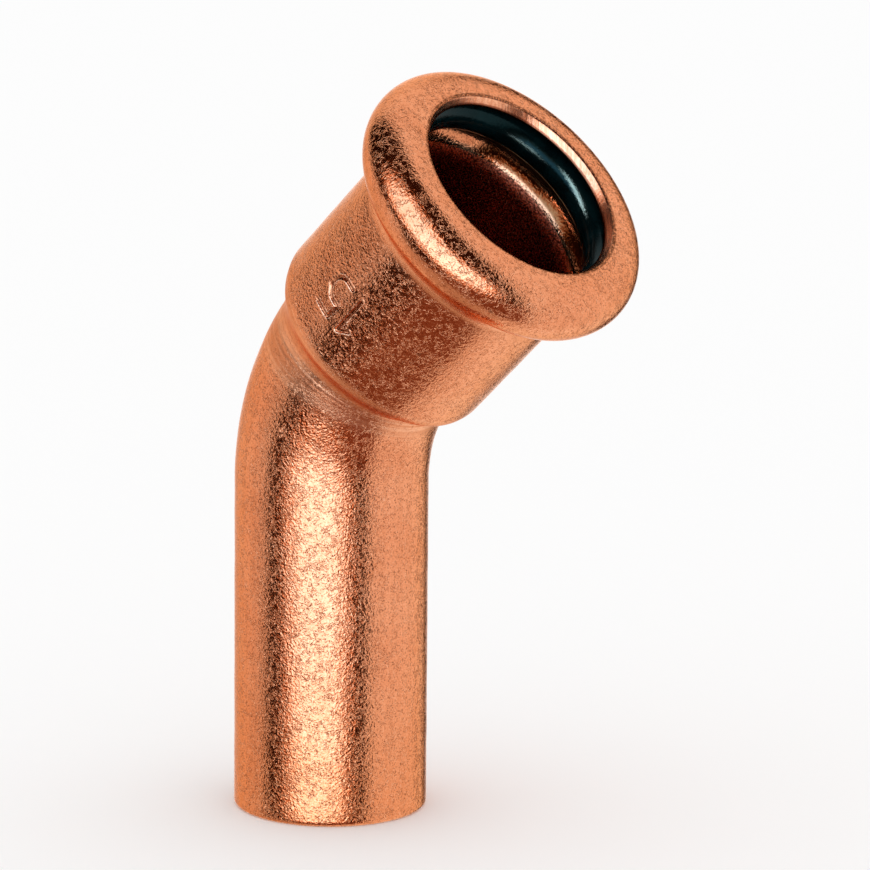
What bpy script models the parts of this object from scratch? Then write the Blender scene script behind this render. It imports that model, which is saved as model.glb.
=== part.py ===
"""Press-fit street elbow, 45 degrees, for 15 mm copper tube.

The body is one piece of tube: a plain end, a bend, a widened socket and a
beaded mouth rolled over a round chamber. A rubber ring lies in the chamber.
Metres, +Z up. The elbow stands on its plain end and leans towards +X. The
origin is on the ground, under the middle of the whole elbow.
"""
import math

import bmesh
import bpy
from mathutils import Matrix, Vector

# Tube
TUBE_DIAMETER = 0.0150      # outside of the plain end, and of the tube that the socket takes
WALL = 0.00125              # thickness of the copper

# Plain end and bend
SPIGOT_LENGTH = 0.0258      # from the plain face to the start of the bend
END_ROUND = 0.0004          # rounding of the plain end's outer edge
END_DEBURR = 0.0002         # bevel of the plain end's inner edge
BEND_RADIUS = 0.0173        # to the middle of the tube
BEND_ANGLE = math.radians(45.0)

# Socket
SOCKET_CLEARANCE = 0.0007   # bore over tube, on the diameter
SOCKET_FLARE = 0.0001       # growth of the bore's radius from the shoulder to the bead
SOCKET_DEPTH = 0.0211       # from the mouth's face to the root of the shoulder
SHOULDER_LEAD = 0.0026      # how far the root of the shoulder lies inside the bend
SHOULDER_ROOT = 0.0024      # outer fillet where the shoulder leaves the tube
STOP_CORNER = 0.0009        # inner rounding between the tube stop and the bore

# Sealing ring and the chamber that holds it
RING_CORD = 0.0028          # thickness of the rubber
RING_GRIP = 0.0003          # inside of the ring over the tube, on the diameter
CHAMBER_GAP = 0.0003        # free space between the ring and the chamber

# Beaded mouth
BEAD_FILLET = 0.0019        # outer fillet between the socket and the bead
LIP_THICKNESS = 0.0009      # the rolled edge is thinner than the tube
LIP_EDGE = 0.00078          # thickness of the lip at its cut edge
LIP_ROUND = 0.00025         # rounding of the lip's front edge
LIP_TAPER = 0.0003          # how much the cut edge opens towards the front, on the radius
MOUTH_CLEARANCE = 0.00104   # narrowest opening over tube, on the diameter

# Mesh fineness
AROUND = 64                 # points around the tube
BEND_STEPS = 12
ARC_STEP = math.radians(20.0)
CORD_POINTS = 16

# Radii that follow from the sizes above
tube_radius = TUBE_DIAMETER / 2
bore_radius = (TUBE_DIAMETER + SOCKET_CLEARANCE) / 2
socket_radius = bore_radius + WALL
shoulder_round = STOP_CORNER + WALL
chamber_radius = RING_CORD / 2 + CHAMBER_GAP
ring_radius = (TUBE_DIAMETER + RING_GRIP + RING_CORD) / 2
bead_back_radius = chamber_radius + WALL
bead_front_radius = chamber_radius + LIP_THICKNESS
bead_outer_radius = ring_radius + bead_back_radius
mouth_radius = (TUBE_DIAMETER + MOUTH_CLEARANCE) / 2

# Places along the middle of the tube, measured from the plain face
bend_end = SPIGOT_LENGTH + BEND_RADIUS * BEND_ANGLE
shoulder_start = bend_end - SHOULDER_LEAD
mouth_face = shoulder_start + SOCKET_DEPTH
bead_centre = mouth_face - bead_front_radius

# The bead reaches furthest towards +X and the plain end furthest towards -X
bead_across = BEND_RADIUS * (1 - math.cos(BEND_ANGLE)) + (bead_centre - bend_end) * math.sin(BEND_ANGLE)
bead_reach = bead_across + (bead_outer_radius - bead_front_radius) * math.cos(BEND_ANGLE) + bead_front_radius
spigot_x = -(bead_reach - tube_radius) / 2


def frame_at(distance):
    """Centre, direction and sideways axis of the tube at a distance along it."""
    turned = min(max((distance - SPIGOT_LENGTH) / BEND_RADIUS, 0.0), BEND_ANGLE)
    direction = Vector((math.sin(turned), 0.0, math.cos(turned)))
    sideways = Vector((math.cos(turned), 0.0, -math.sin(turned)))
    centre = Vector((spigot_x, 0.0, min(distance, SPIGOT_LENGTH)))
    centre += Vector((1 - math.cos(turned), 0.0, math.sin(turned))) * BEND_RADIUS
    centre += direction * max(distance - bend_end, 0.0)
    return centre, direction, sideways


def arc(centre, radius, start, end):
    """Points of an arc in the profile plane, as (distance, radius) pairs.

    Angles are in radians, 0 along the tube and a quarter turn outwards.
    """
    steps = max(2, math.ceil(abs(end - start) / ARC_STEP))
    points = []
    for i in range(steps + 1):
        angle = start + (end - start) * i / steps
        points.append((centre[0] + radius * math.cos(angle), centre[1] + radius * math.sin(angle)))
    return points


def bend_stations():
    """Distances along the bend, from its start to the root of the shoulder."""
    length = shoulder_start - SPIGOT_LENGTH
    return [SPIGOT_LENGTH + length * i / BEND_STEPS for i in range(BEND_STEPS)]


def shoulder(offset):
    """Profile of the shoulder: a root fillet, then a rounding that meets the socket.

    offset is 0 for the outer surface and WALL for the inner one.
    """
    root_radius = SHOULDER_ROOT + offset
    round_radius = shoulder_round - offset
    step = socket_radius - tube_radius
    turn = math.acos(max(1 - step / (SHOULDER_ROOT + shoulder_round), 0.0))
    root_centre = (shoulder_start, tube_radius + SHOULDER_ROOT)
    length = (SHOULDER_ROOT + shoulder_round) * math.sin(turn)
    round_centre = (shoulder_start + length, socket_radius - shoulder_round)
    lower = arc(root_centre, root_radius, -math.pi / 2, -math.pi / 2 + turn)
    upper = arc(round_centre, round_radius, math.pi / 2 + turn, math.pi / 2)
    return lower + upper[1:]


def bead_fillet():
    """Centre of the fillet between socket and bead, and its direction to the bead's centre."""
    height = socket_radius + SOCKET_FLARE + BEAD_FILLET
    reach = BEAD_FILLET + bead_back_radius
    back = math.sqrt(reach ** 2 - (height - ring_radius) ** 2)
    centre = (bead_centre - back, height)
    towards = math.atan2(ring_radius - height, back)
    return centre, towards


def outer_profile():
    """The outer surface, from the plain face to the mouth's face."""
    points = arc((END_ROUND, tube_radius - END_ROUND), END_ROUND, math.pi, math.pi / 2)
    points += [(distance, tube_radius) for distance in bend_stations()]
    points += shoulder(0.0)
    fillet_centre, towards = bead_fillet()
    points += arc(fillet_centre, BEAD_FILLET, -math.pi / 2, towards)
    points += arc((bead_centre, ring_radius), bead_back_radius, math.pi + towards, math.pi / 2)[1:]
    front_centre = (bead_centre, bead_outer_radius - bead_front_radius)
    points += arc(front_centre, bead_front_radius, math.pi / 2, 0.0)[1:]
    lip_centre = (mouth_face - LIP_ROUND, mouth_radius + LIP_TAPER + LIP_ROUND)
    opening = math.atan2(LIP_TAPER, LIP_EDGE - LIP_ROUND)
    points += arc(lip_centre, LIP_ROUND, 0.0, opening - math.pi / 2)
    return points


def inner_profile():
    """The inner surface, from the lip's cut edge back to the plain face."""
    fillet_centre, towards = bead_fillet()
    points = [(mouth_face - LIP_EDGE, mouth_radius)]
    points += arc((bead_centre, ring_radius), chamber_radius, 0.0, math.pi + towards)
    points += arc(fillet_centre, BEAD_FILLET + WALL, towards, -math.pi / 2)[1:]
    points += reversed(shoulder(WALL))
    points += [(distance, tube_radius - WALL) for distance in reversed(bend_stations())]
    points.append((END_DEBURR, tube_radius - WALL))
    points.append((0.0, tube_radius - WALL + END_DEBURR))
    return points


def loft(name, rings):
    """Mesh of a closed loop of rings, each a list of points, joined ring to ring."""
    mesh = bmesh.new()
    loops = [[mesh.verts.new(point) for point in ring] for ring in rings]
    for current, following in zip(loops, loops[1:] + loops[:1]):
        for i in range(AROUND):
            j = (i + 1) % AROUND
            mesh.faces.new((current[i], current[j], following[j], following[i]))
    bmesh.ops.recalc_face_normals(mesh, faces=mesh.faces)
    data = bpy.data.meshes.new(name)
    mesh.to_mesh(data)
    mesh.free()
    data.shade_smooth()
    data.set_sharp_from_angle(angle=math.radians(35))
    return data


def ring_points(centre, sideways, radius):
    """Points of a circle around the tube, level with its centre in Y."""
    points = []
    for i in range(AROUND):
        angle = 2 * math.pi * i / AROUND
        points.append(centre + sideways * (radius * math.cos(angle)) + Vector((0, radius * math.sin(angle), 0)))
    return points


def body_mesh():
    """The copper body, lofted along the tube over its outer and inner surfaces."""
    rings = []
    for distance, radius in outer_profile() + inner_profile():
        centre, _, sideways = frame_at(distance)
        rings.append(ring_points(centre, sideways, radius))
    return loft("fitting_body", rings)


def sealing_ring_mesh():
    """The rubber ring about its own +Z axis."""
    rings = []
    for i in range(CORD_POINTS):
        angle = 2 * math.pi * i / CORD_POINTS
        height = RING_CORD / 2 * math.sin(angle)
        radius = ring_radius + RING_CORD / 2 * math.cos(angle)
        rings.append(ring_points(Vector((0, 0, height)), Vector((1, 0, 0)), radius))
    return loft("sealing_ring", rings)


def material(name, colour, metallic, roughness):
    """A Principled material."""
    made = bpy.data.materials.new(name)
    made.use_nodes = True
    shader = made.node_tree.nodes["Principled BSDF"]
    shader.inputs["Base Color"].default_value = (*colour, 1.0)
    shader.inputs["Metallic"].default_value = metallic
    shader.inputs["Roughness"].default_value = roughness
    return made


def add_object(mesh, look, place):
    """Put a mesh in the scene with its material, at a place given as a matrix."""
    mesh.materials.append(look)
    placed = bpy.data.objects.new(mesh.name, mesh)
    placed.matrix_world = place
    bpy.context.scene.collection.objects.link(placed)
    return placed


def build():
    for old in list(bpy.data.objects):
        bpy.data.objects.remove(old, do_unlink=True)
    copper = material("copper", (0.72, 0.33, 0.19), 1.0, 0.3)
    rubber = material("rubber", (0.012, 0.016, 0.018), 0.0, 0.35)
    body = add_object(body_mesh(), copper, Matrix())
    centre, _, _ = frame_at(bead_centre)
    seat = Matrix.Translation(centre) @ Matrix.Rotation(BEND_ANGLE, 4, "Y")
    ring = add_object(sealing_ring_mesh(), rubber, seat)
    ring.parent = body


build()
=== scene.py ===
"""Looks of the 15 mm press-fit street elbow: copper body, rubber ring, studio and camera.

Metres, +Z up, in the same frame as the elbow's solids. The elbow stands on its
plain end and leans towards +X. A profile point is a distance along the tube's
middle line, measured from the plain face, and a radius around that line.
"""
import math

import bpy
import numpy as np
from mathutils import Matrix, Vector


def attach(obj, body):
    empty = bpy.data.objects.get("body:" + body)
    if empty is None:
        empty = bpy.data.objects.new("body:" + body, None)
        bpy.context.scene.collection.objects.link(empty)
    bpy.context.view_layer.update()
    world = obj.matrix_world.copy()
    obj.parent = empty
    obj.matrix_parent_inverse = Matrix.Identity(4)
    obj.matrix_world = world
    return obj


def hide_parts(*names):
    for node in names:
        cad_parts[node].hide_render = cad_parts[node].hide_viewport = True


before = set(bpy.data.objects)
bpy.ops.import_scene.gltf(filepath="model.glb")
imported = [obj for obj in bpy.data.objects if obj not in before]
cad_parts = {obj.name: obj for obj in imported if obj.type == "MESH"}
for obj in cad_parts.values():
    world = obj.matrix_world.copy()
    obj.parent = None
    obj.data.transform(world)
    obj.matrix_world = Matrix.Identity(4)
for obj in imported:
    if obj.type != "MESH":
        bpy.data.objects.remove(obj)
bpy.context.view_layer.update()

# Sizes of the elbow, the same as in its solids
TUBE_DIAMETER = 0.0150
WALL = 0.00125

# Plain end and bend
SPIGOT_LENGTH = 0.0258      # from the plain face to the start of the bend
END_ROUND = 0.0004          # rounding of the plain end's outer edge
END_DEBURR = 0.0002         # bevel of the plain end's inner edge
BEND_RADIUS = 0.0173        # to the middle of the tube
BEND_ANGLE = math.radians(45.0)

# Socket
SOCKET_CLEARANCE = 0.0007   # bore over tube, on the diameter
SOCKET_FLARE = 0.0001       # growth of the radius from the shoulder to the bead
SOCKET_DEPTH = 0.0211       # from the mouth's face to the root of the shoulder
SHOULDER_LEAD = 0.0026      # how far the root of the shoulder lies inside the bend
SHOULDER_ROOT = 0.0024      # outer fillet where the shoulder leaves the tube
STOP_CORNER = 0.0009        # inner rounding between the tube stop and the bore

# Sealing ring and its chamber
RING_CORD = 0.0028          # thickness of the rubber
RING_GRIP = 0.0003          # inside of the ring over the tube, on the diameter
CHAMBER_GAP = 0.0003        # free space between the ring and the chamber

# Beaded mouth
BEAD_FILLET = 0.0019        # outer fillet between the socket and the bead
LIP_THICKNESS = 0.0009
LIP_EDGE = 0.00078          # thickness of the lip at its cut edge
LIP_ROUND = 0.00025         # rounding of the lip's front edge
LIP_TAPER = 0.0003          # how much the cut edge opens towards the front, on the radius
MOUTH_CLEARANCE = 0.00104   # narrowest opening over tube, on the diameter

# Radii and places that follow from the sizes above
tube_radius = TUBE_DIAMETER / 2
bore_radius = (TUBE_DIAMETER + SOCKET_CLEARANCE) / 2
socket_radius = bore_radius + WALL
shoulder_round = STOP_CORNER + WALL
chamber_radius = RING_CORD / 2 + CHAMBER_GAP
ring_radius = (TUBE_DIAMETER + RING_GRIP + RING_CORD) / 2
bead_back_radius = chamber_radius + WALL
bead_front_radius = chamber_radius + LIP_THICKNESS
bead_outer_radius = ring_radius + bead_back_radius
mouth_radius = (TUBE_DIAMETER + MOUTH_CLEARANCE) / 2
bend_end = SPIGOT_LENGTH + BEND_RADIUS * BEND_ANGLE
shoulder_start = bend_end - SHOULDER_LEAD
mouth_face = shoulder_start + SOCKET_DEPTH
bead_centre = mouth_face - bead_front_radius
bead_across = BEND_RADIUS * (1 - math.cos(BEND_ANGLE)) + (bead_centre - bend_end) * math.sin(BEND_ANGLE)
bead_reach = bead_across + (bead_outer_radius - bead_front_radius) * math.cos(BEND_ANGLE)
bead_reach += bead_front_radius
spigot_x = -(bead_reach - tube_radius) / 2

# Stamped size mark on the socket's side
STAMP_DISTANCE = 0.0444             # its middle, along the tube
STAMP_ANGLE = math.radians(-91.5)   # its middle, around the tube
DIGIT_HEIGHT = 0.0034
DIGIT_WIDTH = 0.0018
DIGIT_GAP = 0.0009
ONE_SHIFT = 0.0003                  # the 1 stands this much further from the gap
FLAG_WIDTH = 0.0008                 # slanting stroke at the top of the 1
FLAG_DROP = 0.0007
FIVE_WAIST = 0.0021                 # height of the 5's waist above its foot
FIVE_INSET = 0.0001                 # its top bar stays this much inside its width
FIVE_NECK = 0.0007                  # straight length before its round part
STROKE = 0.00009                    # half the width of a stroke's flat bottom
STAMP_WALL = 0.00009                # width of a stroke's sloping side
STAMP_DEPTH = 0.00013
BURR = 0.000030                     # height of the metal pushed up beside the strokes
BURR_OFFSET = 1.4                   # its middle, beyond the flat bottom, in sloping sides
BURR_SPREAD = 0.6                   # its spread, in sloping sides
STAMP_REACH = 0.00215               # half of the finely meshed patch

# Forming lines around the neck, just before the shoulder
LINE_ZONE = 0.0022                  # length of the zone
LINE_AFTER = 0.0010                 # how far it reaches onto the shoulder
LINE_PITCH = 0.00045
LINE_DEPTH = 0.000009
lines_start = shoulder_start + LINE_AFTER - LINE_ZONE

# Slow unevenness of the drawn tube
WAVE_DEPTH = 0.000012
WAVES = (                           # turns around the tube, angle per metre, phase and weight
    (3, 900, 0.0, 1.0),
    (5, -1400, 1.3, 1.0),
    (9, 2300, 0.4, 0.7),
)
CALM_START = 0.0005                 # it starts this far from the plain face
CALM_REACH = 0.003                  # and comes and goes over this length

# Fineness of the mesh: angles
COARSE_STEP = math.radians(2.0)     # around the tube, away from the stamp
ARC_STEP = math.radians(5.0)
ROOT_STEP = math.radians(2.2)       # on the shoulder's root
END_STEP = math.radians(12.0)       # on the plain end's rounding
LIP_STEP = math.radians(8.0)        # on the lip's rounding
CHAMBER_STEP = math.radians(6.0)
# Fineness of the mesh: lengths
FINE_PITCH = 0.00006                # in the stamp's patch
LINE_ROW = 0.00008                  # among the forming lines
SPIGOT_ROW = 0.0008
BEND_ROW = 0.0004                   # on the bend and the socket
FACE_ROW = 0.0003                   # on the mouth's face
LIP_ROW = 0.00015                   # on the lip's cut face
INNER_ROW = 0.0006                  # in the socket and the bend
INNER_SPIGOT_ROW = 0.0012
LIP_BACK_ROWS = 6
RING_COLUMNS = 192
RING_SECTION = 48


def spread(start, end, pitch):
    """Evenly spaced values from start up to, and without, end."""
    steps = max(1, math.ceil(abs(end - start) / pitch))
    return [start + (end - start) * i / steps for i in range(steps)]


def smooth(t):
    """0 below 0, 1 above 1, and a smooth step between."""
    t = np.clip(t, 0, 1)
    return t * t * (3 - 2 * t)


def above(value, edge, softness):
    """0 below the edge, rising smoothly to 1 over the softness."""
    return smooth((value - edge) / softness)


def below(value, edge, softness):
    """0 above the edge, rising smoothly to 1 over the softness under it."""
    return smooth((edge - value) / softness)


def arc(centre, radius, start, end, step=ARC_STEP):
    """Points of an arc in the profile plane, as (distance, radius) pairs."""
    steps = max(2, math.ceil(abs(end - start) / step))
    angles = [start + (end - start) * i / steps for i in range(steps + 1)]
    return [(centre[0] + radius * math.cos(a), centre[1] + radius * math.sin(a)) for a in angles]


def shoulder(offset):
    """Profile of the shoulder: a root fillet, then a rounding that meets the socket.

    offset is 0 for the outer surface and WALL for the inner one.
    """
    step = socket_radius - tube_radius
    turn = math.acos(max(1 - step / (SHOULDER_ROOT + shoulder_round), 0.0))
    root_centre = (shoulder_start, tube_radius + SHOULDER_ROOT)
    length = (SHOULDER_ROOT + shoulder_round) * math.sin(turn)
    round_centre = (shoulder_start + length, socket_radius - shoulder_round)
    lower = arc(root_centre, SHOULDER_ROOT + offset, -math.pi / 2, -math.pi / 2 + turn, ROOT_STEP)
    upper = arc(round_centre, shoulder_round - offset, math.pi / 2 + turn, math.pi / 2)
    return lower + upper[1:]


def bead_fillet():
    """Centre of the fillet between socket and bead, and its direction to the bead's centre."""
    height = socket_radius + SOCKET_FLARE + BEAD_FILLET
    reach = BEAD_FILLET + bead_back_radius
    back = math.sqrt(reach ** 2 - (height - ring_radius) ** 2)
    return (bead_centre - back, height), math.atan2(ring_radius - height, back)


def outer_profile():
    """The outer surface, from the plain face to the mouth's face."""
    fillet_centre, towards = bead_fillet()
    points = arc((END_ROUND, tube_radius - END_ROUND), END_ROUND, math.pi, math.pi / 2, END_STEP)
    points += [(d, tube_radius) for d in spread(END_ROUND, SPIGOT_LENGTH, SPIGOT_ROW)[1:]]
    points += [(d, tube_radius) for d in spread(SPIGOT_LENGTH, lines_start, BEND_ROW)]
    points += [(d, tube_radius) for d in spread(lines_start, shoulder_start, LINE_ROW)]
    rise = shoulder(0.0)
    points += rise
    start, end = rise[-1][0], fillet_centre[0]
    stamp_start, stamp_end = STAMP_DISTANCE - STAMP_REACH, STAMP_DISTANCE + STAMP_REACH
    run = spread(start, stamp_start, BEND_ROW)[1:]
    run += spread(stamp_start, stamp_end, FINE_PITCH)
    run += spread(stamp_end, end, BEND_ROW)
    points += [(d, socket_radius + SOCKET_FLARE * (d - start) / (end - start)) for d in run]
    points += arc(fillet_centre, BEAD_FILLET, -math.pi / 2, towards)
    points += arc((bead_centre, ring_radius), bead_back_radius, math.pi + towards, math.pi / 2)[1:]
    front_centre = (bead_centre, bead_outer_radius - bead_front_radius)
    points += arc(front_centre, bead_front_radius, math.pi / 2, 0.0)[1:]
    lip_start = mouth_radius + LIP_TAPER + LIP_ROUND
    points += [(mouth_face, r) for r in spread(front_centre[1], lip_start, FACE_ROW)[1:]]
    return points


def lip_profile():
    """The lip's edge, and how many rows of faces its front rounding has.

    After the rounding comes the cut face towards the axis, a little open to the front.
    """
    centre = (mouth_face - LIP_ROUND, mouth_radius + LIP_TAPER + LIP_ROUND)
    opening = math.atan2(LIP_TAPER, LIP_EDGE - LIP_ROUND)
    points = arc(centre, LIP_ROUND, 0.0, opening - math.pi / 2, LIP_STEP)
    rounded = len(points) - 1
    (start, high), end = points[-1], mouth_face - LIP_EDGE
    for d in spread(start, end, LIP_ROW)[1:]:
        points.append((d, high + (mouth_radius - high) * (d - start) / (end - start)))
    return points, rounded


def inner_profile():
    """The inner surface, from the back of the lip to the plain face."""
    fillet_centre, towards = bead_fillet()
    taper = (LIP_THICKNESS - LIP_EDGE) / LIP_BACK_ROWS
    rise = (ring_radius - mouth_radius) / LIP_BACK_ROWS
    lip_back = mouth_face - LIP_EDGE
    points = [(lip_back - taper * i, mouth_radius + rise * i) for i in range(LIP_BACK_ROWS)]
    points += arc((bead_centre, ring_radius), chamber_radius, 0.0, math.pi + towards, CHAMBER_STEP)
    points += arc(fillet_centre, BEAD_FILLET + WALL, towards, -math.pi / 2)[1:]
    drop = shoulder(WALL)[::-1]
    start, end = fillet_centre[0], drop[0][0]
    first, last = points[-1][1], drop[0][1]
    run = spread(start, end, INNER_ROW)[1:]
    points += [(d, first + (last - first) * (d - start) / (end - start)) for d in run]
    points += drop
    inner = tube_radius - WALL
    points += [(d, inner) for d in spread(shoulder_start, SPIGOT_LENGTH, INNER_ROW)[1:]]
    points += [(d, inner) for d in spread(SPIGOT_LENGTH, END_DEBURR, INNER_SPIGOT_ROW)]
    points += [(END_DEBURR, inner), (0.0, inner + END_DEBURR)]
    return points


def column_angles():
    """Angles around the tube, close together where the stamp is."""
    reach = STAMP_REACH / socket_radius
    fine = spread(STAMP_ANGLE - reach, STAMP_ANGLE + reach, FINE_PITCH / socket_radius)
    return fine + spread(STAMP_ANGLE + reach, STAMP_ANGLE - reach + 2 * math.pi, COARSE_STEP)


def segment_distance(x, y, ax, ay, bx, by):
    """Distance of the points (x, y) to the segment from a to b."""
    along = ((x - ax) * (bx - ax) + (y - ay) * (by - ay)) / ((bx - ax) ** 2 + (by - ay) ** 2)
    along = np.clip(along, 0, 1)
    return np.hypot(x - ax - along * (bx - ax), y - ay - along * (by - ay))


def digit_distance(x, y):
    """Distance to the middle line of the plain numerals 1 and 5, x to the right and y up."""
    top, bottom = DIGIT_HEIGHT / 2, -DIGIT_HEIGHT / 2
    one = -DIGIT_GAP / 2 - ONE_SHIFT
    left, right = DIGIT_GAP / 2, DIGIT_GAP / 2 + DIGIT_WIDTH
    waist = bottom + FIVE_WAIST
    bowl = FIVE_WAIST / 2
    across, middle = left + FIVE_NECK, bottom + bowl
    strokes = (
        (one, bottom, one, top),
        (one, top, one - FLAG_WIDTH, top - FLAG_DROP),
        (left + FIVE_INSET, top, right - FIVE_INSET, top),
        (left + FIVE_INSET, top, left, waist),
        (left, waist, across, waist),
        (left, bottom, across, bottom),
    )
    found = np.abs(np.hypot(x - across, y - middle) - bowl)
    found = np.where(x > across, found, 1.0)
    for stroke in strokes:
        found = np.minimum(found, segment_distance(x, y, *stroke))
    return found


def stamp_parts(distance, angle):
    """The stamp's groove and the burr beside it, each from 0 to 1, for arrays of places."""
    x = -(angle - STAMP_ANGLE) * socket_radius
    y = -(distance - STAMP_DISTANCE)
    off = digit_distance(x, y)
    groove = 1 - smooth((off - STROKE) / STAMP_WALL)
    burr = np.exp(-((off - STROKE - BURR_OFFSET * STAMP_WALL) / (BURR_SPREAD * STAMP_WALL)) ** 2)
    return groove, burr


def forming_lines(distance, angle):
    """Relief of the forming lines, which come and go around the neck."""
    along = (distance - lines_start) / LINE_ZONE
    window = smooth(along * 3) * smooth((1.0 - along) * 4)
    phase = 2 * math.pi * distance / LINE_PITCH
    lines = np.sin(phase + 0.6 * np.sin(2 * angle)) + 0.5 * np.sin(2.3 * phase + 1.1 * np.sin(angle + 1))
    return LINE_DEPTH * window * lines * (0.7 + 0.3 * np.sin(3 * angle + 0.7))


def unevenness(distance, angle):
    """Relief of the drawn tube, which never stands above the plain profile."""
    wave = sum(weight * np.sin(turns * angle + along * distance + phase)
               for turns, along, phase, weight in WAVES)
    wave = wave / sum(weight for _, _, _, weight in WAVES) - 1
    calm = above(distance, CALM_START, CALM_REACH) * below(distance, bead_centre - CALM_REACH, CALM_REACH)
    return WAVE_DEPTH * wave * calm


def loft(name, profile, angles, relief, kinds, stamp_light_and_shade):
    """Closed mesh lofted along the tube, with one material index for each row of faces."""
    distance = np.array([p[0] for p in profile])
    radius = np.array([p[1] for p in profile])
    turned = np.clip((distance - SPIGOT_LENGTH) / BEND_RADIUS, 0.0, BEND_ANGLE)
    beyond = np.maximum(distance - bend_end, 0.0)
    centre_x = spigot_x + BEND_RADIUS * (1 - np.cos(turned)) + np.sin(turned) * beyond
    centre_z = np.minimum(distance, SPIGOT_LENGTH) + BEND_RADIUS * np.sin(turned)
    centre_z = centre_z + np.cos(turned) * beyond
    angles = np.array(angles)
    wide = radius[:, None] + relief
    across = wide * np.cos(angles)[None, :]
    x = centre_x[:, None] + across * np.cos(turned)[:, None]
    y = wide * np.sin(angles)[None, :]
    z = centre_z[:, None] - across * np.sin(turned)[:, None]
    vertices = np.stack([x, y, z], -1).reshape(-1, 3)
    mesh = bpy.data.meshes.new(name)
    mesh.from_pydata(vertices.tolist(), [], ring_faces(len(profile), len(angles), True))
    mesh.polygons.foreach_set("material_index", np.repeat(np.array(kinds), len(angles)))
    straight = np.stack([across, y, np.broadcast_to(distance[:, None], y.shape)], -1).reshape(-1)
    mesh.attributes.new("straight", "FLOAT_VECTOR", "POINT").data.foreach_set("vector", straight)
    mesh.attributes.new("stamp_light_and_shade", "FLOAT", "POINT").data.foreach_set("value", stamp_light_and_shade.reshape(-1))
    mesh.update()
    mesh.shade_smooth()
    return mesh


def ring_faces(rings, points, closed):
    """Faces between rings of points, with the last ring joined to the first where closed."""
    i, j = np.meshgrid(np.arange(rings if closed else rings - 1), np.arange(points), indexing="ij")
    after, beside = (i + 1) % rings, (j + 1) % points
    corners = [i * points + j, i * points + beside, after * points + beside, after * points + j]
    return np.stack(corners, -1).reshape(-1, 4).tolist()


def add_object(name, data):
    """An object for the data, linked into the scene."""
    made = bpy.data.objects.new(name, data)
    bpy.context.scene.collection.objects.link(made)
    return made


def make_body():
    """The copper body, with materials 0 for the skin, 1 for cut edges and 2 for the inside."""
    outer, (lip, rounded), inner = outer_profile(), lip_profile(), inner_profile()
    angles = column_angles()
    profile = outer + lip + inner
    distance = np.array([p[0] for p in outer])[:, None]
    wrapped = (np.array(angles)[None, :] - STAMP_ANGLE + math.pi) % (2 * math.pi) - math.pi + STAMP_ANGLE
    groove, burr = stamp_parts(distance, wrapped)
    relief = np.zeros((len(profile), len(angles)))
    relief[:len(outer)] = BURR * burr - STAMP_DEPTH * groove
    relief[:len(outer)] += forming_lines(distance, wrapped) + unevenness(distance, wrapped)
    # where the stamp's burr gets painted highlight and its grooves painted shade
    stamp_light_and_shade = np.zeros(relief.shape)
    stamp_light_and_shade[:len(outer)] = burr - groove
    kinds = [0] * (len(outer) - 1 + rounded) + [1] * (len(lip) - rounded) + [2] * (len(inner) - 1) + [1, 1]
    return add_object("elbow_body", loft("elbow_body", profile, angles, relief, kinds, stamp_light_and_shade))


def tube_centre(distance):
    """Place of the tube's middle at a distance along it."""
    turned = min(max((distance - SPIGOT_LENGTH) / BEND_RADIUS, 0.0), BEND_ANGLE)
    beyond = max(distance - bend_end, 0.0)
    x = spigot_x + BEND_RADIUS * (1 - math.cos(turned)) + math.sin(turned) * beyond
    z = min(distance, SPIGOT_LENGTH) + BEND_RADIUS * math.sin(turned) + math.cos(turned) * beyond
    return Vector((x, 0.0, z))


def make_ring():
    """The rubber ring, a plain round cord, seated in its chamber."""
    vertices = []
    faces = []
    seat = Matrix.Translation(tube_centre(bead_centre)) @ Matrix.Rotation(BEND_ANGLE, 4, "Y")
    for i in range(RING_COLUMNS):
        a = 2 * math.pi * i / RING_COLUMNS
        for j in range(RING_SECTION):
            b = 2 * math.pi * j / RING_SECTION
            r = RING_CORD / 2
            out = ring_radius + r * math.cos(b)
            vertices.append(seat @ Vector((out * math.cos(a), out * math.sin(a), r * math.sin(b))))
            n, m = (i + 1) % RING_COLUMNS * RING_SECTION, (j + 1) % RING_SECTION
            faces.append((i * RING_SECTION + j, n + j, n + m, i * RING_SECTION + m))
    mesh = bpy.data.meshes.new("elbow_ring")
    mesh.from_pydata([tuple(v) for v in vertices], [], faces)
    mesh.update()
    mesh.shade_smooth()
    return add_object("elbow_ring", mesh)


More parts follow.
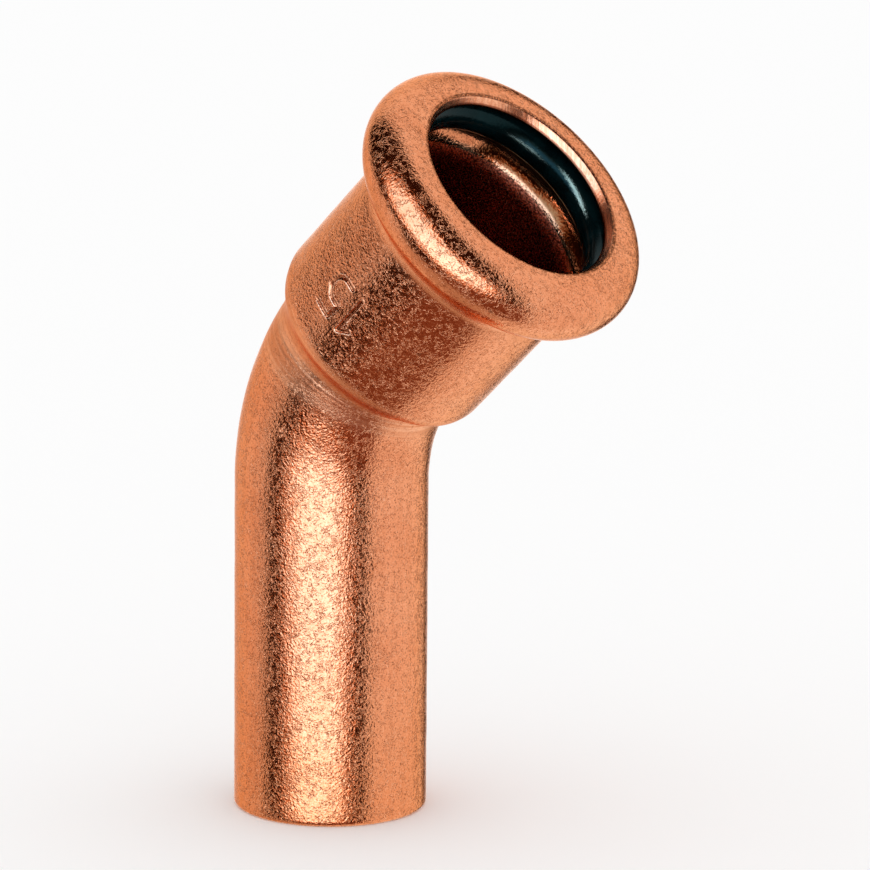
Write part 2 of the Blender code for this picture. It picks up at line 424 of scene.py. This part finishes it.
# Materials
class Tree:
    """Small helper that adds nodes to a material and links them."""

    def __init__(self, name):
        self.material = bpy.data.materials.new(name)
        self.material.use_nodes = True
        self.tree = self.material.node_tree
        self.shader = self.tree.nodes["Principled BSDF"]
        self.place = self.add("ShaderNodeTexCoord").outputs["Object"]

    def add(self, kind, inputs=None, **settings):
        """A node with its settings, and its inputs by name."""
        made = self.tree.nodes.new(kind)
        for name, value in settings.items():
            setattr(made, name, value)
        for name, value in (inputs or {}).items():
            self.put(value, made.inputs[name])
        return made

    def put(self, value, socket):
        """Link another node's output to a socket, or set the socket to a plain value."""
        if isinstance(value, bpy.types.NodeSocket):
            self.tree.links.new(value, socket)
        else:
            socket.default_value = value

    def math(self, operation, a, b=0.0):
        """Result of a calculation on one or two numbers."""
        made = self.add("ShaderNodeMath", operation=operation)
        self.put(a, made.inputs[0])
        self.put(b, made.inputs[1])
        return made.outputs[0]

    def scaled(self, scale, rotation=(0, 0, 0), place=None):
        """A place, scaled and turned. Without one it is the place on the object."""
        values = {"Vector": place or self.place, "Scale": scale, "Rotation": rotation}
        return self.add("ShaderNodeMapping", values).outputs[0]

    def straight(self, scale=(1, 1, 1)):
        """The place on the tube as if it were straight: across, across, along."""
        made = self.add("ShaderNodeAttribute", attribute_name="straight")
        return self.scaled(scale, place=made.outputs["Vector"])

    def axis(self, name):
        """One axis of the straightened place: X and Y across the tube, Z along it."""
        return self.add("ShaderNodeSeparateXYZ", {"Vector": self.straight()}).outputs[name]

    def across(self):
        """Distance from the middle of the tube."""
        made = self.add("ShaderNodeVectorMath", {"Vector": self.straight((1, 1, 0))}, operation="LENGTH")
        return made.outputs["Value"]

    def around(self, distance, reach):
        """1 at a distance along the tube, fading to 0 at the given reach from it."""
        off = self.math("ABSOLUTE", self.math("SUBTRACT", self.axis("Z"), distance))
        return self.ramp(off, reach, 0.0)

    def noise(self, vector, scale, detail=2.0, roughness=0.5, distortion=0.0):
        """Soft noise from 0 to 1."""
        values = {"Vector": vector, "Scale": scale, "Detail": detail}
        values |= {"Roughness": roughness, "Distortion": distortion}
        return self.add("ShaderNodeTexNoise", values).outputs["Fac"]

    def cells(self, vector, scale):
        """Distance to the nearest of many scattered points."""
        return self.add("ShaderNodeTexVoronoi", {"Vector": vector, "Scale": scale}).outputs["Distance"]

    def ramp(self, value, low, high):
        """0 at low, 1 at high, smooth between. low may be the larger one."""
        values = {"Value": value, "From Min": low, "From Max": high}
        return self.add("ShaderNodeMapRange", values, interpolation_type="SMOOTHSTEP").outputs["Result"]

    def mix(self, factor, a, b):
        """Colour a where the factor is 0 and colour b where it is 1."""
        made = self.add("ShaderNodeMix", data_type="RGBA")
        for value, socket in ((factor, 0), (a, 6), (b, 7)):
            self.put(value, made.inputs[socket])
        return made.outputs[2]

    def over(self, colour, mask, share, paint):
        """The colour with a share of the paint over it where the mask is 1."""
        return self.mix(self.math("MULTIPLY", mask, share), colour, paint)

    def bump(self, height, distance, strength=1.0, below=None):
        """Normal of a fine relief, on top of the one below."""
        values = {"Height": height, "Distance": distance, "Strength": strength}
        if below is not None:
            values["Normal"] = below
        return self.add("ShaderNodeBump", values).outputs["Normal"]

    def finish(self, colour, rough, normal, plain):
        """Give the shader its colour, roughness and normal, and plain values for other sockets."""
        self.put(colour, self.shader.inputs["Base Color"])
        self.put(rough, self.shader.inputs["Roughness"])
        self.put(normal, self.shader.inputs["Normal"])
        for name, value in plain.items():
            self.shader.inputs[name].default_value = value
        return self.material


PER_MM = (1000, 1000, 1000)             # noise scales are then per millimetre
ALONG_TUBE = (1600, 1600, 60)           # stretched along the tube
AROUND_TUBE = (60, 60, 2600)            # stretched around the tube
EDGE_TINT = (0.92, 0.66, 0.50, 1)       # keeps the copper's colour where it is seen at a low angle

# Colours of the outer surface
PINK = (0.90, 0.345, 0.17, 1)
BROWN = (0.85, 0.300, 0.140, 1)
FOOT_ORANGE = (0.82, 0.25, 0.085, 1)
DRAWN_BROWN = (0.52, 0.16, 0.06, 1)
GRAIN_DARK = (0.38, 0.10, 0.035, 1)
GRAIN_LIGHT = (0.95, 0.46, 0.27, 1)
PIT_DARK = (0.10, 0.03, 0.012, 1)
# painted shade in the creases
CREASE_SHADE = (0.40, 0.11, 0.04, 1)
STAIN_BROWN = (0.48, 0.13, 0.045, 1)
SPOT_BROWN = (0.20, 0.055, 0.02, 1)
# tones of the matte zones, painted paler than the skin as light that offsets the fillets' darker
# inter-reflection and stands in for the pale ring at the shoulder
MATTE_DARK = (0.76, 0.285, 0.135, 1)
MATTE_LIGHT = (0.95, 0.45, 0.25, 1)
# painted highlight on the stamp's burr, painted shade in its grooves
BURR_HIGHLIGHT = (0.99, 0.62, 0.42, 1)
GROOVE_SHADE = (0.22, 0.06, 0.025, 1)
# painted shade on the lip's front edge
RIM_SHADE = (0.16, 0.05, 0.022, 1)

# Colours of the cut edges
CUT_LIGHT = (0.97, 0.46, 0.27, 1)
CUT_DARK = (0.80, 0.30, 0.15, 1)
# painted shade on the back of the cut face
CUT_BACK_SHADE = (0.22, 0.045, 0.018, 1)

# Colours of the inner surface
BORE_LIGHT = (0.72, 0.26, 0.120, 1)
BORE_BROWN = (0.56, 0.18, 0.08, 1)
BORE_GRAIN = (0.25, 0.07, 0.025, 1)
# painted highlight line in the bore
BORE_HIGHLIGHT = (0.98, 0.54, 0.33, 1)
# painted shade beside the ring, bronze in tone
BRONZE_SHADE = (0.16, 0.058, 0.020, 1)
# painted shade in the ring's chamber
CHAMBER_SHADE = (0.05, 0.02, 0.01, 1)
# specks of the painted dark reflection beyond the bright band
SPECK_DARK = (0.10, 0.028, 0.015, 1)
SPECK_RED = (1.0, 0.25, 0.13, 1)
# painted shade deep in the bore
DEEP_SHADE = (0.04, 0.013, 0.008, 1)

# Colours and gloss of the rubber
RUBBER_DARK = (0.0005, 0.0034, 0.0042, 1)
RUBBER_LIGHT = (0.0009, 0.0080, 0.0095, 1)
RUBBER_TINT = (0.42, 0.95, 1.0, 1)
RUBBER_GLOSS = 0.16

# Heights of the fine relief in the finishes
COARSE_RELIEF = 0.000012
FORMED_RELIEF = 0.000006
GRAIN_RELIEF = 0.000033
FACET_RELIEF = 0.000012
CREASE_RELIEF = 0.000024
CUT_MARK_RELIEF = 0.00002
CUT_GRAIN_RELIEF = 0.000006
BORE_RELIEF = 0.000024
RUBBER_RELIEF = 0.000018

# Places on the outer surface where its finish and painted light and shade change
FOOT_TINT_END = 0.016               # the plain end is more orange from here to its face
MATTE_BEFORE = 0.0034               # matte metal, painted paler: how far it reaches down the neck
MATTE_AFTER = 0.0038                # and up the shoulder
MATTE_FILLET_SHIFT = 0.0010         # its middle on the bead's fillet, beyond the fillet's centre
MATTE_FILLET_REACH = 0.0018
BEAD_CALM_BEFORE = 0.0028           # flattened grain: its middle, before the bead's centre
BEAD_CALM_REACH = 0.0062
RIM_WIDTH = 0.00068                 # painted shade on the lip's rim, outside the narrowest opening
RIM_FULL = 0.00054                  # within this it has its full strength
RIM_DEPTH = 0.001                   # how far back from the mouth's face it reaches
RIM_DEPTH_FULL = 0.0005

# Depths on the lip's cut face where painted shade on its back starts, and where it is full
CUT_BACK_START = 0.00042
CUT_BACK_FULL = 0.00054
CUT_BACK_RAGGED = 0.00012

# Depths inside the mouth where the finish and its painted light and shade change
BORE_BAND_END = 0.0056              # the bright band of the bore ends, and painted dark reflection starts
BORE_BAND_FADE = 0.00012
GLINT_START = 0.00050               # a painted highlight line from this far before that end
GLINT_FULL = 0.00020
BRONZE_END = 0.00016                # painted bronze shade beside the ring, up to this far before that end
BRONZE_FULL = 0.00032
BRONZE_LEFT = -0.0070               # across the tube, the painted bronze shade starts here
BRONZE_LEFT_FULL = -0.0062
CHAMBER_FULL = 0.0045               # painted shade in the chamber reaches this deep
CHAMBER_END = 0.0048
DEEP_START = 0.0045                 # from the shoulder's root, painted shade in the depth starts here
DEEP_FULL = 0.0010
band_end = mouth_face - BORE_BAND_END


def creases(t, mm):
    """Short creases: a web of fine lines, broken up by a slower noise."""
    web = t.math("ABSOLUTE", t.math("SUBTRACT", t.noise(mm, 3.5, 1.0, 0.5, 1.0), 0.5))
    return t.math("MULTIPLY", t.ramp(web, 0.05, 0.0), t.ramp(t.noise(mm, 1.9, 1.0), 0.44, 0.54))


def neck_mask(t):
    """1 on the matte metal where the neck was widened, which is also painted paler as light."""
    along = t.axis("Z")
    lower = t.ramp(along, shoulder_start - MATTE_BEFORE, shoulder_start - 0.4 * MATTE_BEFORE)
    upper = t.ramp(along, shoulder_start + MATTE_AFTER, shoulder_start + 0.7 * MATTE_AFTER)
    return t.math("MULTIPLY", lower, upper)


def rim_shade_mask(t, mm):
    """1 on the ragged painted shade along the lip's front edge."""
    near_axis = t.ramp(t.across(), mouth_radius + RIM_WIDTH, mouth_radius + RIM_FULL)
    in_front = t.ramp(t.axis("Z"), mouth_face - RIM_DEPTH, mouth_face - RIM_DEPTH_FULL)
    ragged = t.ramp(t.noise(mm, 7.0, 2.0, 0.6), 0.34, 0.52)
    return t.math("MULTIPLY", t.math("MULTIPLY", near_axis, in_front), ragged)


def drawn_copper(t, mm, patches, crease):
    """Colour of the drawn tube: tints, drawing lines, grain, painted shade in the creases, stains and spots.
    """
    slow = t.noise(mm, 0.16, 3.0, 0.6, 0.5)
    drawn = t.noise(t.straight(ALONG_TUBE), 1.0, 3.0, 0.6)
    fine = t.noise(mm, 7.5, 1.0, 0.5)
    stain = t.math("MULTIPLY", t.ramp(t.noise(mm, 1.1, 3.0, 0.6), 0.56, 0.70), t.ramp(patches, 0.48, 0.62))
    spots = t.math("MULTIPLY", t.ramp(t.cells(mm, 0.55), 0.14, 0.05), t.ramp(patches, 0.5, 0.62))
    colour = t.mix(t.ramp(slow, 0.35, 0.65), PINK, BROWN)
    colour = t.over(colour, t.ramp(t.axis("Z"), FOOT_TINT_END, 0.0), 0.60, FOOT_ORANGE)
    colour = t.over(colour, t.ramp(drawn, 0.62, 0.35), 0.20, DRAWN_BROWN)
    colour = t.over(colour, t.ramp(fine, 0.50, 0.30), 0.26, GRAIN_DARK)
    colour = t.over(colour, t.ramp(fine, 0.52, 0.72), 0.40, GRAIN_LIGHT)
    colour = t.over(colour, t.ramp(fine, 0.36, 0.28), 0.55, PIT_DARK)
    # painted shade in the creases
    colour = t.over(colour, crease, 0.22, CREASE_SHADE)
    colour = t.over(colour, stain, 0.35, STAIN_BROWN)
    return t.over(colour, spots, 0.7, SPOT_BROWN)


def copper_skin():
    """The outer surface: drawn tube, matte where it was widened and flattened at the bead, with painted light
    and shade in the matte zones, creases, stamp and lip's rim.
    """
    t = Tree("copper_skin")
    mm = t.scaled(PER_MM)
    patches = t.noise(mm, 0.45, 4.0, 0.65, 0.8)
    formed = t.noise(t.straight(AROUND_TUBE), 1.0, 3.0, 0.6)
    crease = creases(t, mm)
    neck = neck_mask(t)
    fillet = t.around(bead_fillet()[0][0] + MATTE_FILLET_SHIFT, MATTE_FILLET_REACH)
    matte_and_painted_light = t.math("MAXIMUM", neck, fillet)
    stamp_light_and_shade = t.add("ShaderNodeAttribute", attribute_name="stamp_light_and_shade").outputs["Fac"]

    colour = drawn_copper(t, mm, patches, crease)
    # matte formed metal, painted paler as light in the fillets and at the shoulder's pale ring
    colour = t.over(colour, matte_and_painted_light, 0.75, t.mix(t.ramp(formed, 0.40, 0.60), MATTE_DARK, MATTE_LIGHT))
    # painted highlight on the stamp's burr and painted shade in its grooves
    colour = t.over(colour, t.ramp(stamp_light_and_shade, 0.1, 0.9), 0.75, BURR_HIGHLIGHT)
    colour = t.over(colour, t.ramp(stamp_light_and_shade, -0.2, -0.9), 0.6, GROOVE_SHADE)
    # painted shade along the lip's front edge
    colour = t.over(colour, rim_shade_mask(t, mm), 0.9, RIM_SHADE)

    rough = t.math("ADD", t.math("MULTIPLY", patches, 0.10), 0.08)
    rough = t.math("ADD", rough, t.math("MULTIPLY", matte_and_painted_light, 0.19))

    bead_calm = t.math("MULTIPLY", t.around(bead_centre - BEAD_CALM_BEFORE, BEAD_CALM_REACH), 0.6)
    calm = t.math("MAXIMUM", bead_calm, t.math("MULTIPLY", neck, 0.45))
    grainy = t.math("SUBTRACT", 1.0, calm)
    normal = t.bump(t.noise(mm, 1.6, 2.0, 0.5, 0.3), COARSE_RELIEF)
    normal = t.bump(formed, FORMED_RELIEF, t.math("ADD", t.math("MULTIPLY", matte_and_painted_light, 0.7), 0.3), normal)
    normal = t.bump(t.noise(mm, 4.2, 1.5, 0.5, 0.8), GRAIN_RELIEF, grainy, normal)
    normal = t.bump(t.cells(mm, 5.0), FACET_RELIEF, grainy, normal)
    normal = t.bump(t.math("SUBTRACT", 1.0, crease), CREASE_RELIEF, grainy, normal)
    return t.finish(colour, rough, normal, {"Metallic": 1.0, "Specular Tint": EDGE_TINT})


def copper_cut():
    """Freshly cut edges: pinker, with fine tool marks across the thickness and painted shade on the back."""
    t = Tree("copper_cut")
    mm = t.scaled(PER_MM)
    marks = t.noise(t.scaled((1000, 1000, 0), (0, -BEND_ANGLE, 0)), 4.0, 3.0, 0.7)
    colour = t.mix(t.ramp(marks, 0.35, 0.65), CUT_LIGHT, CUT_DARK)
    # painted shade on the back of the cut face, with a ragged edge
    back = t.math("ADD", t.axis("Z"), t.math("MULTIPLY", t.noise(mm, 5.0, 2.0), CUT_BACK_RAGGED))
    back = t.ramp(back, mouth_face - CUT_BACK_START, mouth_face - CUT_BACK_FULL)
    colour = t.over(colour, back, 0.85, CUT_BACK_SHADE)
    normal = t.bump(marks, CUT_MARK_RELIEF)
    normal = t.bump(t.noise(mm, 7.0, 2.0), CUT_GRAIN_RELIEF, 1.0, normal)
    return t.finish(colour, 0.24, normal, {"Metallic": 1.0})


def copper_bore():
    """The inner surface: painted shade in the chamber and beside the ring, a painted highlight line, then
    duller with a painted dark reflection and painted shade deeper in.
    """
    t = Tree("copper_bore")
    mm = t.scaled(PER_MM)
    patches = t.noise(mm, 0.5, 4.0, 0.6, 0.5)
    along = t.axis("Z")
    deep_shade = t.ramp(along, shoulder_start + DEEP_START, shoulder_start + DEEP_FULL)
    dull_and_shaded = t.ramp(along, band_end, band_end - BORE_BAND_FADE)
    glint = t.ramp(along, band_end + GLINT_START, band_end + GLINT_FULL)
    bronze_shade = t.math("MULTIPLY", t.ramp(along, band_end + BRONZE_END, band_end + BRONZE_FULL),
                    t.ramp(t.axis("X"), BRONZE_LEFT, BRONZE_LEFT_FULL))
    chamber = t.ramp(along, mouth_face - CHAMBER_END, mouth_face - CHAMBER_FULL)
    speckled = t.mix(t.ramp(t.noise(mm, 8.0, 1.0, 0.5), 0.38, 0.62), SPECK_DARK, SPECK_RED)

    colour = t.mix(t.ramp(patches, 0.35, 0.65), BORE_LIGHT, BORE_BROWN)
    colour = t.over(colour, t.ramp(t.noise(mm, 6.5, 2.0, 0.6), 0.54, 0.34), 0.75, BORE_GRAIN)
    # painted highlight line near the end of the bright band
    colour = t.over(colour, glint, 0.35, BORE_HIGHLIGHT)
    # painted bronze shade beside the ring
    colour = t.over(colour, bronze_shade, 0.85, BRONZE_SHADE)
    # painted shade in the ring's chamber
    colour = t.over(colour, chamber, 0.9, CHAMBER_SHADE)
    # painted dark reflection beyond the bright band, with red specks
    colour = t.over(colour, dull_and_shaded, 0.95, speckled)
    # painted shade deep in the bore
    colour = t.over(colour, deep_shade, 0.95, DEEP_SHADE)

    rough = t.math("ADD", t.math("MULTIPLY", patches, 0.06), 0.05)
    rough = t.math("ADD", rough, t.math("MULTIPLY", dull_and_shaded, 0.24))
    rough = t.math("ADD", rough, t.math("MULTIPLY", chamber, 0.25))
    normal = t.bump(t.noise(mm, 4.2, 1.5, 0.5, 0.8), BORE_RELIEF)
    return t.finish(colour, rough, normal, {"Metallic": 1.0, "Specular Tint": EDGE_TINT})


def rubber():
    """The ring: black rubber with a faint blue-green gloss."""
    t = Tree("rubber")
    mm = t.scaled(PER_MM)
    slow = t.noise(mm, 0.8, 2.0)
    colour = t.mix(t.ramp(slow, 0.3, 0.7), RUBBER_DARK, RUBBER_LIGHT)
    rough = t.math("ADD", t.math("MULTIPLY", slow, 0.06), 0.08)
    normal = t.bump(t.noise(mm, 5.0, 3.0, 0.7), RUBBER_RELIEF)
    return t.finish(colour, rough, normal, {"Specular IOR Level": RUBBER_GLOSS, "Specular Tint": RUBBER_TINT})


# Camera, at the photograph's viewing angle
CAMERA_AZIMUTH = math.radians(38.134)
CAMERA_ELEVATION = math.radians(12.571)
CAMERA_ROLL = math.radians(0.475)
CAMERA_DISTANCE = 0.499745
CAMERA_TARGET = Vector((0.001075, 0.0, 0.030728))
FOCAL_PIXELS = 6569.1
PICTURE_WIDTH = 870
SENSOR_WIDTH = 36.0


def direction(azimuth, elevation):
    """Unit vector away from the elbow, azimuth 0 towards -Y and a quarter turn towards +X."""
    flat = math.cos(elevation)
    return Vector((math.sin(azimuth) * flat, -math.cos(azimuth) * flat, math.sin(elevation)))


def make_camera():
    """The camera, turned a little about its line of sight."""
    back = direction(CAMERA_AZIMUTH, CAMERA_ELEVATION)
    level = Vector((math.cos(CAMERA_AZIMUTH), math.sin(CAMERA_AZIMUTH), 0.0))
    upright = back.cross(level)
    right = math.cos(CAMERA_ROLL) * level + math.sin(CAMERA_ROLL) * upright
    up = math.cos(CAMERA_ROLL) * upright - math.sin(CAMERA_ROLL) * level
    data = bpy.data.cameras.new("camera")
    data.sensor_width = SENSOR_WIDTH
    data.lens = FOCAL_PIXELS / PICTURE_WIDTH * SENSOR_WIDTH
    made = add_object("camera", data)
    made.matrix_world = Matrix.Translation(CAMERA_TARGET + back * CAMERA_DISTANCE) @ Matrix((
        (right.x, up.x, back.x, 0),
        (right.y, up.y, back.y, 0),
        (right.z, up.z, back.z, 0),
        (0, 0, 0, 1),
    ))
    bpy.context.scene.camera = made


# Studio
# What the metal mirrors: a light tent with a soft light, dark cloth and a small rear light.
# Directions are in degrees: azimuth from the camera, to its right, and elevation.
# Outlines are drawn on a flat map of directions around TENT_AZIMUTH at the horizon.
STUDIO_CENTRE = Vector((0.0, 0.0, 0.03))
TENT_DISTANCE = 1.2
TENT_STEP = 1.5
TENT_AZIMUTH = -27.0
LIGHT_OUTLINE = (
    (-52, 20), (-49, 32), (-32, 46), (-8, 52), (10, 51), (15, 38), (18, 24), (31, 12),
    (47, 1), (48, -12), (43, -22), (30, -30), (8, -32), (-10, -27), (-23, -16), (-29, -5), (-43, 8),
)
LIGHT_COLOUR = (2.05, 3.05, 4.00)
LIGHT_FADE = 0.22                       # how much weaker its upper part is
LIGHT_EDGE = 5.0
FRINGE_COLOUR = (0.90, 0.45, 0.25)      # warm glow around the soft light
FRINGE_REACH = 5.0
LIGHT_BORDER = 10.0                     # warmer border inside the soft light
LIGHT_BORDER_COLOUR = (1.40, 1.05, 0.80)
CLOTH_OUTLINE = (
    (70, -20), (73, 10), (72, 35), (66, 60), (53, 82), (28, 95), (-5, 98), (-42, 92),
    (-75, 78), (-102, 52), (-114, 28), (-94, 19), (-74, 7), (-54, -8), (-53, -15), (-58, -20),
    (-52, -34), (-30, -50), (-14, -66), (0, -84), (14, -88), (34, -78), (50, -62), (64, -42),
)
CLOTH_COLOUR = (0.032, 0.0125, 0.0072)
CLOTH_LIFT = 6.2                        # how much lighter the cloth is near the ground
CLOTH_FOLD = 0.6                        # how much darker its upper left part is
CLOTH_EDGE = 3.0
GROUND_COLOUR = (0.55, 0.44, 0.36)      # shaded ground
NEAR_FLOOR_GAIN = (0.10, 0.24, 0.38)    # the floor in front, under the camera
SIDE_COLOUR = (0.93, 0.82, 0.73)        # left side
REAR_LIGHT_COLOUR = (1.25, 1.25, 1.20)
REAR_LIGHT_WIDTH = 13.0                 # half its width
REAR_LIGHT_HEIGHT = 24.0
REAR_CLOTH_WIDTH = 20.0                 # beside the rear light, on one side
REAR_CLOTH_HEIGHT = 34.0

# Where parts of the tent begin on the flat map, each as an edge and how soft it is
GROUND_RIGHT = (45, 60)
GROUND_TOP = (-8, 30)
GROUND_LOW = (-100, 15)
SIDE_TINT_RIGHT = (-52, 30)
SIDE_RIGHT = (-55, 20)
SIDE_TOP = (25, 20)
SIDE_LEFT = (-150, 30)
NEAR_FLOOR_TOP = (-95, 15)
CLOTH_LIFT_TOP = (-30, 15)
FOLD_RIGHT = (-25, 30)
FOLD_LOW = (25, 25)
LIGHT_FADE_LOW = (-12, 30)

# Two narrow lamps for the gloss of the ring alone, each between two directions
STRIP_DISTANCE = 0.6
STRIP_COLOUR = (1.0, 0.66, 0.62)        # takes back some of the rubber's blue-green gloss
STRIP_HIGH_ENDS = ((-12, 33), (-70, 39))
STRIP_HIGH_WIDTH = 0.13
STRIP_HIGH_RADIANCE = 75.0
STRIP_LOW_ENDS = ((14, -33), (-17, -16))
STRIP_LOW_WIDTH = 0.05
STRIP_LOW_RADIANCE = 330.0

FLOOR_HALF = 2.0
FLOOR_CORE_POINTS = 48


def outline_distance(x, y, outline):
    """Signed distance to a closed outline, negative inside."""
    nearest = np.full(x.shape, 1e9)
    inside = np.zeros(x.shape, bool)
    for (ax, ay), (bx, by) in zip(outline, outline[1:] + outline[:1]):
        nearest = np.minimum(nearest, segment_distance(x, y, ax, ay, bx, by))
        crosses = ((ay > y) != (by > y)) & (x < (bx - ax) * (y - ay) / (by - ay + 1e-12) + ax)
        inside ^= crosses
    return np.where(inside, -nearest, nearest)


def blend_in(radiance, colour, distance, edge):
    """Put a colour where the distance is negative, with a soft edge."""
    share = 1 - smooth(distance / edge + 0.5)
    return radiance + (np.array(colour) - radiance) * share[..., None]


def flat_map(azimuth, elevation):
    """Places of directions on the flat map, in degrees to the right and up."""
    a, e = np.radians(azimuth - TENT_AZIMUTH), np.radians(elevation)
    forward, right, up = np.cos(a) * np.cos(e), np.sin(a) * np.cos(e), np.sin(e)
    away = np.degrees(np.arccos(np.clip(forward, -1, 1)))
    scale = away / np.maximum(np.hypot(right, up), 1e-6)
    return right * scale, up * scale


def tent_radiance(azimuth, elevation):
    """Colour and strength of the tent in each direction, for arrays of degrees."""
    x, y = flat_map(azimuth, elevation)
    side = below(x, *SIDE_TINT_RIGHT)[..., None]
    ground = np.array(GROUND_COLOUR) * (1 - side) + np.array(SIDE_COLOUR) * side
    shade = below(x, *GROUND_RIGHT) * below(y, *GROUND_TOP) * above(y, *GROUND_LOW)
    shade = np.maximum(shade, below(x, *SIDE_RIGHT) * below(y, *SIDE_TOP) * above(x, *SIDE_LEFT))
    radiance = 1 + (ground - 1) * shade[..., None]
    radiance = radiance + np.array(NEAR_FLOOR_GAIN) * below(y, *NEAR_FLOOR_TOP)[..., None]
    cloth = np.array(CLOTH_COLOUR) * (1 + CLOTH_LIFT * below(y, *CLOTH_LIFT_TOP))[..., None]
    cloth = cloth * (1 - CLOTH_FOLD * below(x, *FOLD_RIGHT) * above(y, *FOLD_LOW))[..., None]
    radiance = blend_in(radiance, cloth, outline_distance(x, y, CLOTH_OUTLINE), CLOTH_EDGE)
    light = np.array(LIGHT_COLOUR) * (1 - LIGHT_FADE * above(y, *LIGHT_FADE_LOW))[..., None]
    off = outline_distance(x, y, LIGHT_OUTLINE)
    border = smooth(1 + off / LIGHT_BORDER)[..., None]
    light = light + (np.array(LIGHT_BORDER_COLOUR) - light) * border
    radiance = blend_in(radiance, FRINGE_COLOUR, off - FRINGE_REACH, LIGHT_EDGE)
    radiance = blend_in(radiance, light, off, LIGHT_EDGE)
    behind = (azimuth + 360) % 360 - 180
    middle = -REAR_LIGHT_WIDTH - REAR_CLOTH_WIDTH / 2
    beside = np.abs(behind - middle) - REAR_CLOTH_WIDTH / 2
    rear = np.maximum(beside, np.abs(elevation) - REAR_CLOTH_HEIGHT)
    radiance = blend_in(radiance, CLOTH_COLOUR, rear, CLOTH_EDGE)
    rear = np.maximum(np.abs(behind) - REAR_LIGHT_WIDTH, np.abs(elevation) - REAR_LIGHT_HEIGHT)
    return blend_in(radiance, REAR_LIGHT_COLOUR, rear, LIGHT_EDGE)


def tent_look():
    """Material that glows with the tent's radiance."""
    look = bpy.data.materials.new("tent")
    look.use_nodes = True
    nodes, links = look.node_tree.nodes, look.node_tree.links
    nodes.clear()
    source = nodes.new("ShaderNodeAttribute")
    source.attribute_name = "radiance"
    glow = nodes.new("ShaderNodeEmission")
    out = nodes.new("ShaderNodeOutputMaterial")
    links.new(source.outputs["Vector"], glow.inputs["Color"])
    links.new(glow.outputs[0], out.inputs["Surface"])
    look.cycles.emission_sampling = "NONE"
    return look


def make_tent():
    """The light tent around the elbow, which only the metal and the rubber mirror."""
    columns = round(360 / TENT_STEP)
    rings = columns // 2 + 1
    azimuth = np.arange(columns) * TENT_STEP - 180
    azimuth, elevation = np.meshgrid(azimuth, np.arange(rings) * TENT_STEP - 90)
    a, e = np.radians(azimuth) + CAMERA_AZIMUTH, np.radians(elevation)
    ways = np.stack([np.sin(a) * np.cos(e), -np.cos(a) * np.cos(e), np.sin(e)], -1)
    vertices = np.array(STUDIO_CENTRE) + ways * TENT_DISTANCE
    mesh = bpy.data.meshes.new("tent")
    mesh.from_pydata(vertices.reshape(-1, 3).tolist(), [], ring_faces(rings, columns, False))
    radiance = mesh.attributes.new("radiance", "FLOAT_VECTOR", "POINT")
    radiance.data.foreach_set("vector", tent_radiance(azimuth, elevation).reshape(-1))
    mesh.materials.append(tent_look())
    made = add_object("tent", mesh)
    for name in ("visible_camera", "visible_diffuse", "visible_shadow", "visible_transmission"):
        setattr(made, name, False)


def make_strip(name, ends, width, radiance, shadows, only):
    """A narrow lamp between two directions from the camera's side, which lights one piece only."""
    start, end = (
        direction(math.radians(azimuth) + CAMERA_AZIMUTH, math.radians(elevation)) * STRIP_DISTANCE
        for azimuth, elevation in ends
    )
    middle = (start + end) / 2
    along = end - start
    data = bpy.data.lights.new(name, "AREA")
    data.shape = "RECTANGLE"
    data.size, data.size_y = along.length, width
    data.energy = radiance * math.pi * data.size * data.size_y
    data.color = STRIP_COLOUR
    data.use_shadow = shadows
    made = add_object(name, data)
    across = middle.cross(along).normalized()
    made.matrix_world = Matrix.Translation(STUDIO_CENTRE + middle) @ Matrix((
        (*along.normalized(), 0),
        (*across, 0),
        (*along.normalized().cross(across), 0),
        (0, 0, 0, 1),
    )).transposed()
    receivers = bpy.data.collections.new(name)
    receivers.objects.link(only)
    made.light_linking.receiver_collection = receivers
    made.visible_camera = False
    made.visible_diffuse = False


def flat_piece(name, corners, look):
    """One flat face with a material."""
    mesh = bpy.data.meshes.new(name)
    mesh.from_pydata(corners, [], [tuple(range(len(corners)))])
    mesh.materials.append(look)
    return add_object(name, mesh)


def make_floor():
    """The pale floor, which metal doesn't mirror, and a small piece under the plain end."""
    look = bpy.data.materials.new("floor")
    look.use_nodes = True
    shader = look.node_tree.nodes["Principled BSDF"]
    shader.inputs["Base Color"].default_value = (0.98, 0.98, 0.98, 1)
    shader.inputs["Roughness"].default_value = 1.0
    shader.inputs["Specular IOR Level"].default_value = 0.0
    half = FLOOR_HALF
    made = flat_piece("floor", [(-half, -half, 0), (half, -half, 0), (half, half, 0), (-half, half, 0)], look)
    made.visible_glossy = False
    # the part of the floor that closes the plain end, which the copper inside does mirror
    radius = tube_radius - WALL / 2
    angles = [2 * math.pi * i / FLOOR_CORE_POINTS for i in range(FLOOR_CORE_POINTS)]
    circle = [(spigot_x + radius * math.cos(a), radius * math.sin(a), 0) for a in angles]
    made = flat_piece("floor_core", circle, look)


def make_world():
    """Even white light from all sides."""
    world = bpy.data.worlds.new("studio")
    world.use_nodes = True
    world.node_tree.nodes["Background"].inputs["Color"].default_value = (1, 1, 1, 1)
    world.node_tree.nodes["Background"].inputs["Strength"].default_value = 1.0
    bpy.context.scene.world = world


# Putting it together
body = make_body()
for look in (copper_skin(), copper_cut(), copper_bore()):
    body.data.materials.append(look)
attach(body, "root")
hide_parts("fitting_body")

ring = make_ring()
ring.data.materials.append(rubber())
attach(ring, "root")
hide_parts("sealing_ring")

make_camera()
make_tent()
make_strip("strip_high", STRIP_HIGH_ENDS, STRIP_HIGH_WIDTH, STRIP_HIGH_RADIANCE, True, ring)
make_strip("strip_low", STRIP_LOW_ENDS, STRIP_LOW_WIDTH, STRIP_LOW_RADIANCE, False, ring)
make_floor()
make_world()
bpy.context.scene.view_settings.view_transform = "Standard"
